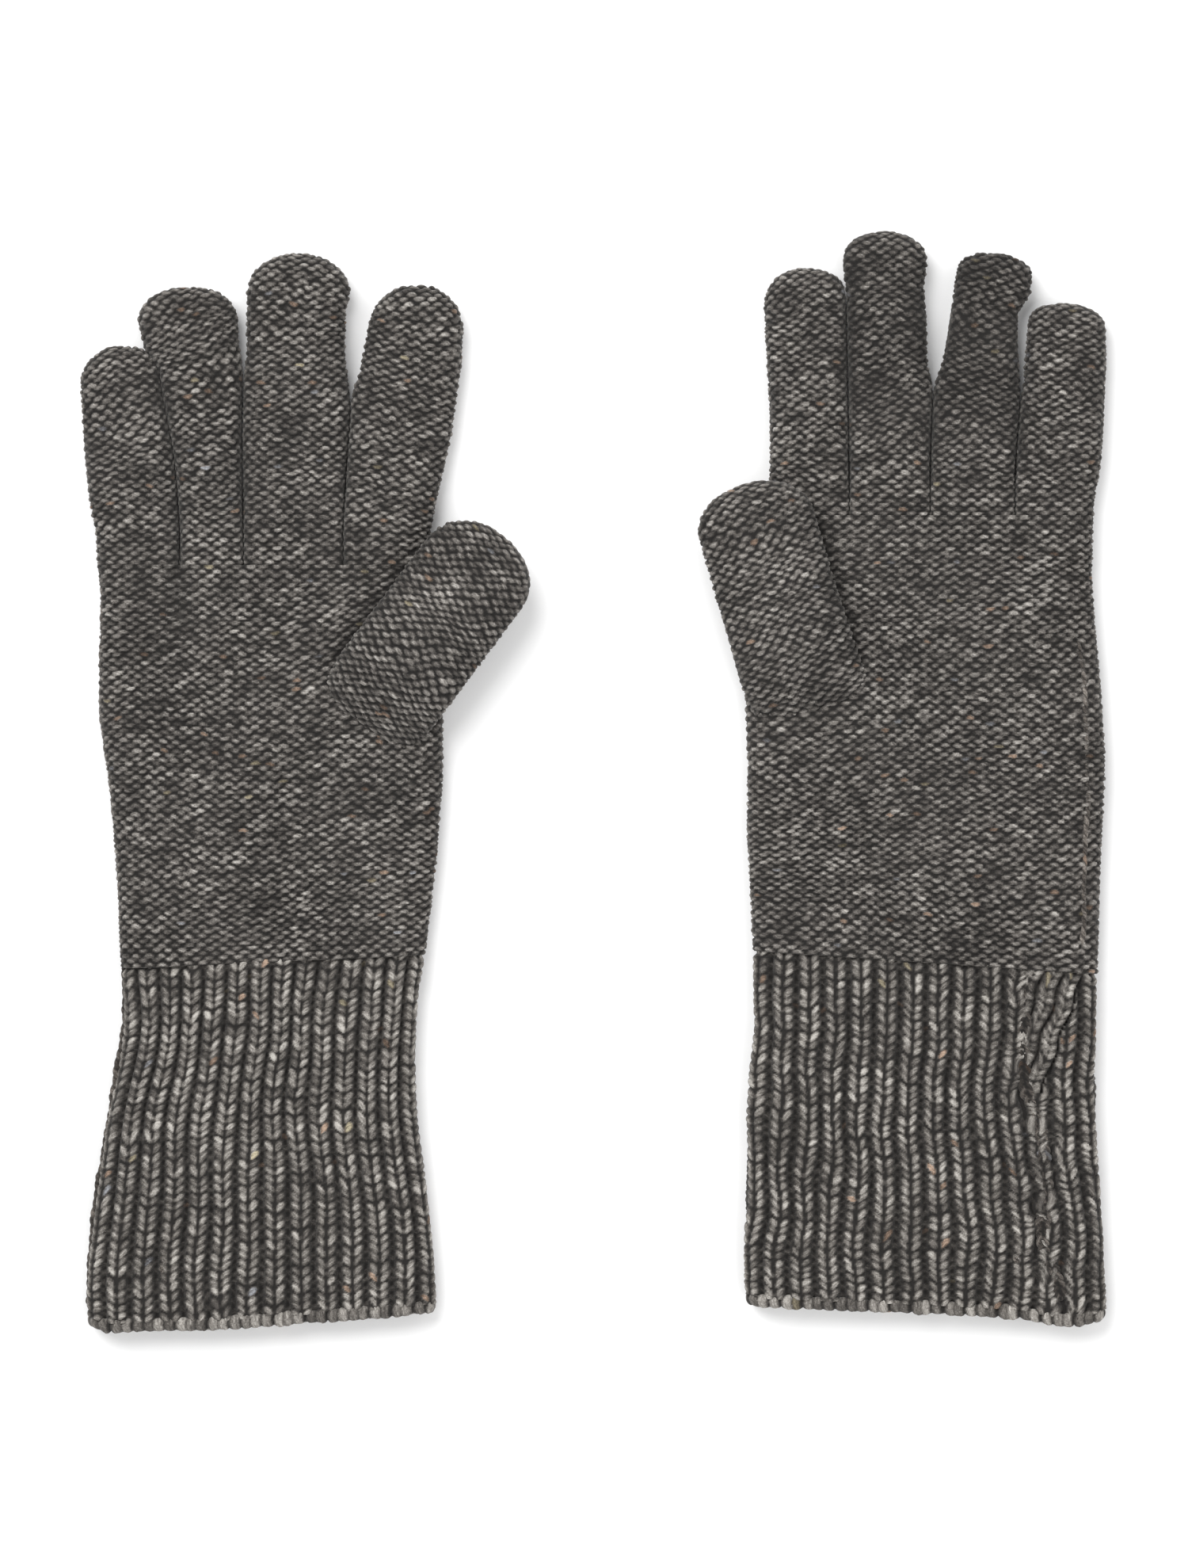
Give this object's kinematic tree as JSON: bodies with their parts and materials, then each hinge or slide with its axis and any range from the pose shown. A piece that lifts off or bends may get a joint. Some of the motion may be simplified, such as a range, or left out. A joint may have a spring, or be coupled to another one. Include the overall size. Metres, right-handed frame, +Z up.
{
  "type": "knitted gloves",
  "caption": "Pair of knitted gloves with long ribbed cuffs, lying flat with the palms up; purl-side hand, fingers and thumb, sewn side seams and cast-on hems.",
  "frame": {"origin": "middle of the pair's footprint, on the plane the gloves lie on", "axes": "+X across the pair from the right hand's glove to the left hand's glove, +Y towards the fingertips, +Z up out of the palms"},
  "size_m": [0.2887, 0.3101, 0.0203],
  "materials": {
    "hand_wool": "felted marled wool",
    "cuff_wool": "felted marled wool",
    "seam_wool": "felted wool"
  },
  "bodies": {
    "right_hand": {"right_hand": "hand_wool", "right_side_seam": "seam_wool"},
    "right_cuff": {"right_cuff": "cuff_wool", "right_cuff_seam": "seam_wool", "right_hem": "cuff_wool", "right_yarn_end": "seam_wool"},
    "right_little_root": {"right_little_root": "hand_wool"},
    "right_little_tip": {"right_little_tip": "hand_wool"},
    "right_ring_root": {"right_ring_root": "hand_wool"},
    "right_ring_tip": {"right_ring_tip": "hand_wool"},
    "right_middle_root": {"right_middle_root": "hand_wool"},
    "right_middle_tip": {"right_middle_tip": "hand_wool"},
    "right_index_root": {"right_index_root": "hand_wool"},
    "right_index_tip": {"right_index_tip": "hand_wool"},
    "right_thumb_root": {"right_thumb_root": "hand_wool"},
    "right_thumb_tip": {"right_thumb_tip": "hand_wool"},
    "left_hand": {"left_hand": "hand_wool", "left_side_seam": "seam_wool"},
    "left_cuff": {"left_cuff": "cuff_wool", "left_cuff_seam": "seam_wool", "left_hem": "cuff_wool", "left_yarn_end": "seam_wool"},
    "left_little_root": {"left_little_root": "hand_wool"},
    "left_little_tip": {"left_little_tip": "hand_wool"},
    "left_ring_root": {"left_ring_root": "hand_wool"},
    "left_ring_tip": {"left_ring_tip": "hand_wool"},
    "left_middle_root": {"left_middle_root": "hand_wool"},
    "left_middle_tip": {"left_middle_tip": "hand_wool"},
    "left_index_root": {"left_index_root": "hand_wool"},
    "left_index_tip": {"left_index_tip": "hand_wool"},
    "left_thumb_root": {"left_thumb_root": "hand_wool"},
    "left_thumb_tip": {"left_thumb_tip": "hand_wool"}
  },
  "joints": [
    {"name": "right_wrist", "type": "hinge", "parent": "right_hand", "child": "right_cuff", "pos_m": [-0.09, -0.0492, 0.01], "axis": [-0.999, -0.044, 0], "range_deg": [0, 80]},
    {"name": "right_little_root_fold", "type": "hinge", "parent": "right_hand", "child": "right_little_root", "pos_m": [-0.1282, 0.07, 0.01], "axis": [1, 0, 0], "range_deg": [0, 90]},
    {"name": "right_little_knuckle", "type": "hinge", "parent": "right_little_root", "child": "right_little_tip", "pos_m": [-0.13023, 0.095, 0.01], "axis": [1, 0, 0], "range_deg": [0, 90]},
    {"name": "right_ring_root_fold", "type": "hinge", "parent": "right_hand", "child": "right_ring_root", "pos_m": [-0.1074, 0.07, 0.01], "axis": [1, 0, 0], "range_deg": [0, 90]},
    {"name": "right_ring_knuckle", "type": "hinge", "parent": "right_ring_root", "child": "right_ring_tip", "pos_m": [-0.10899, 0.095, 0.01], "axis": [1, 0, 0], "range_deg": [0, 90]},
    {"name": "right_middle_root_fold", "type": "hinge", "parent": "right_hand", "child": "right_middle_root", "pos_m": [-0.0844, 0.07, 0.01], "axis": [1, 0, 0], "range_deg": [0, 90]},
    {"name": "right_middle_knuckle", "type": "hinge", "parent": "right_middle_root", "child": "right_middle_tip", "pos_m": [-0.08386, 0.095, 0.01], "axis": [1, 0, 0], "range_deg": [0, 90]},
    {"name": "right_index_root_fold", "type": "hinge", "parent": "right_hand", "child": "right_index_root", "pos_m": [-0.0569, 0.07, 0.01], "axis": [1, 0, 0], "range_deg": [0, 90]},
    {"name": "right_index_knuckle", "type": "hinge", "parent": "right_index_root", "child": "right_index_tip", "pos_m": [-0.0548, 0.095, 0.01], "axis": [1, 0, 0], "range_deg": [0, 90]},
    {"name": "right_thumb_swing", "type": "hinge", "parent": "right_hand", "child": "right_thumb_root", "pos_m": [-0.0578, 0.0265, 0.0103], "axis": [0, 0, -1], "range_deg": [0, 45]},
    {"name": "right_thumb_knuckle", "type": "hinge", "parent": "right_thumb_root", "child": "right_thumb_tip", "pos_m": [-0.04339, 0.04569, 0.0203], "axis": [0.7997, -0.6004, 0], "range_deg": [0, 80]},
    {"name": "left_wrist", "type": "hinge", "parent": "left_hand", "child": "left_cuff", "pos_m": [0.09315, -0.0494, 0.01], "axis": [-0.9978, 0.0669, 0], "range_deg": [0, 80]},
    {"name": "left_little_root_fold", "type": "hinge", "parent": "left_hand", "child": "left_little_root", "pos_m": [0.1295, 0.084, 0.01], "axis": [1, 0, 0], "range_deg": [0, 90]},
    {"name": "left_little_knuckle", "type": "hinge", "parent": "left_little_root", "child": "left_little_tip", "pos_m": [0.13116, 0.109, 0.01], "axis": [1, 0, 0], "range_deg": [0, 90]},
    {"name": "left_ring_root_fold", "type": "hinge", "parent": "left_hand", "child": "left_ring_root", "pos_m": [0.1062, 0.084, 0.01], "axis": [1, 0, 0], "range_deg": [0, 90]},
    {"name": "left_ring_knuckle", "type": "hinge", "parent": "left_ring_root", "child": "left_ring_tip", "pos_m": [0.10799, 0.109, 0.01], "axis": [1, 0, 0], "range_deg": [0, 90]},
    {"name": "left_middle_root_fold", "type": "hinge", "parent": "left_hand", "child": "left_middle_root", "pos_m": [0.083, 0.084, 0.01], "axis": [1, 0, 0], "range_deg": [0, 90]},
    {"name": "left_middle_knuckle", "type": "hinge", "parent": "left_middle_root", "child": "left_middle_tip", "pos_m": [0.083, 0.109, 0.01], "axis": [1, 0, 0], "range_deg": [0, 90]},
    {"name": "left_index_root_fold", "type": "hinge", "parent": "left_hand", "child": "left_index_root", "pos_m": [0.0604, 0.084, 0.01], "axis": [1, 0, 0], "range_deg": [0, 90]},
    {"name": "left_index_knuckle", "type": "hinge", "parent": "left_index_root", "child": "left_index_tip", "pos_m": [0.05983, 0.109, 0.01], "axis": [1, 0, 0], "range_deg": [0, 90]},
    {"name": "left_thumb_swing", "type": "hinge", "parent": "left_hand", "child": "left_thumb_root", "pos_m": [0.057, 0.0323, 0.0103], "axis": [0, 0, 1], "range_deg": [0, 50]},
    {"name": "left_thumb_knuckle", "type": "hinge", "parent": "left_thumb_root", "child": "left_thumb_tip", "pos_m": [0.05038, 0.05537, 0.0203], "axis": [0.9613, 0.2756, 0], "range_deg": [0, 80]},
    {"name": "pair_lift_off", "type": "slide", "parent": "right_hand", "child": "left_hand", "axis": [0, 0, 1], "range_m": [0, 0.1]}
  ]
}
